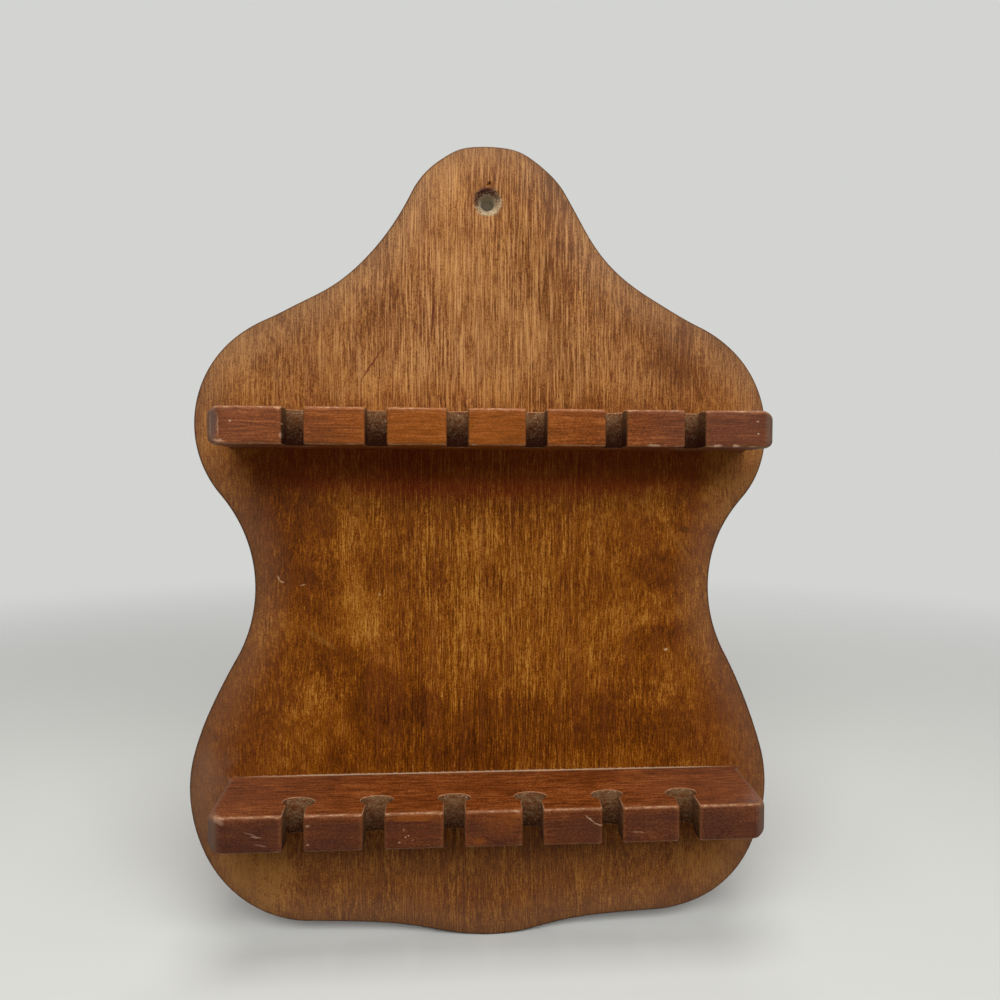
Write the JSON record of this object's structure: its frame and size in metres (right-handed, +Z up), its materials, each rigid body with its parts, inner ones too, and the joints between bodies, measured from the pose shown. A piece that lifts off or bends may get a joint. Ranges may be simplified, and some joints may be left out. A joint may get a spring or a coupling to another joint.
{
  "type": "wall spoon rack",
  "caption": "Wooden wall rack for spoons: a board with curved shoulders, waist and hips, hung by a hole in its crown, with two rails slotted for spoon handles.",
  "frame": {"origin": "centre of the hanging hole, on the board's back face", "axes": "+X to the right along the rails seen from the front, +Y into the wall, +Z up"},
  "size_m": [0.2194, 0.0398, 0.2978],
  "materials": {
    "board_wood": "stained, worn satin",
    "rail_wood": "stained, worn satin",
    "screw_steel": "dull plain steel"
  },
  "bodies": {
    "root": {"back_board": "board_wood", "upper_rail": "rail_wood", "lower_rail": "rail_wood", "upper_rail_screws": "screw_steel", "lower_rail_screws": "screw_steel"}
  },
  "joints": []
}
